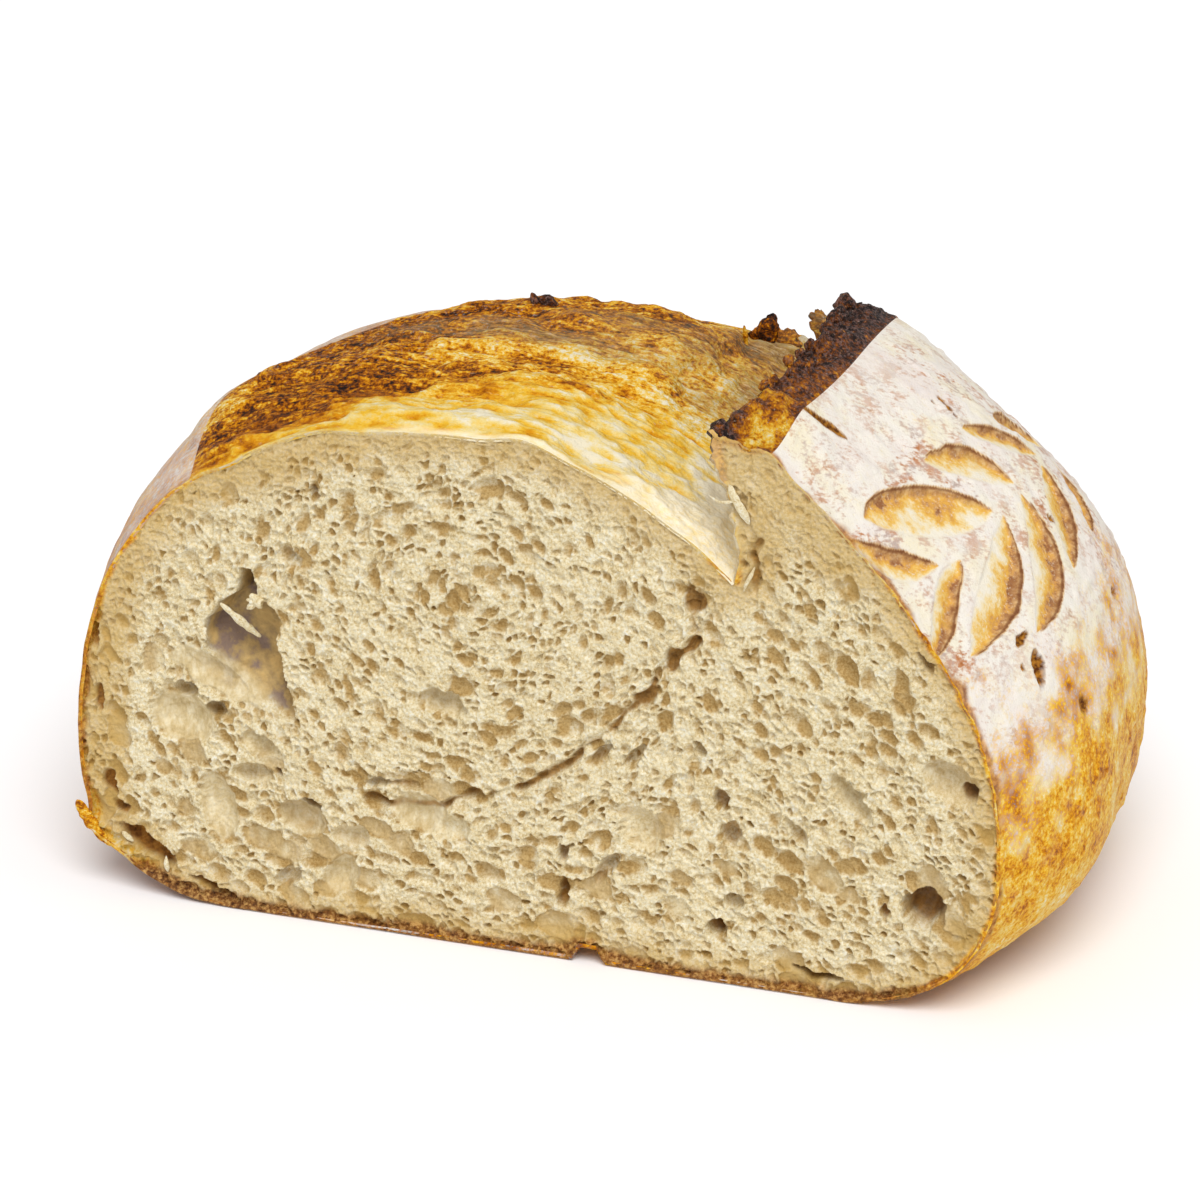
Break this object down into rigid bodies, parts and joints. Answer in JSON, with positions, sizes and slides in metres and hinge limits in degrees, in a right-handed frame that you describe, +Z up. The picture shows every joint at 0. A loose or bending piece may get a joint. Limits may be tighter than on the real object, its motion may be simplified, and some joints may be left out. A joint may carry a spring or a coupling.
{
  "type": "rustic loaf",
  "caption": "Cut half of a round rustic sourdough loaf: open crumb on the cut face, floured crust with leaf cuts, torn ear and golden bloom, on a flat base.",
  "frame": {"origin": "middle of the loaf's bounding box at its base", "axes": "+X to the right along the cut face, towards the ear; -Y out of the cut face, +Y towards the rounded end; +Z up"},
  "size_m": [0.217, 0.141, 0.1241],
  "materials": {
    "crust": "dry baked crust, golden to dark brown, floured on the skin, faint satin where it is browned",
    "crumb": "matte open crumb, pale cream with darker pores"
  },
  "bodies": {
    "root": {"loaf": "crust"}
  },
  "joints": []
}
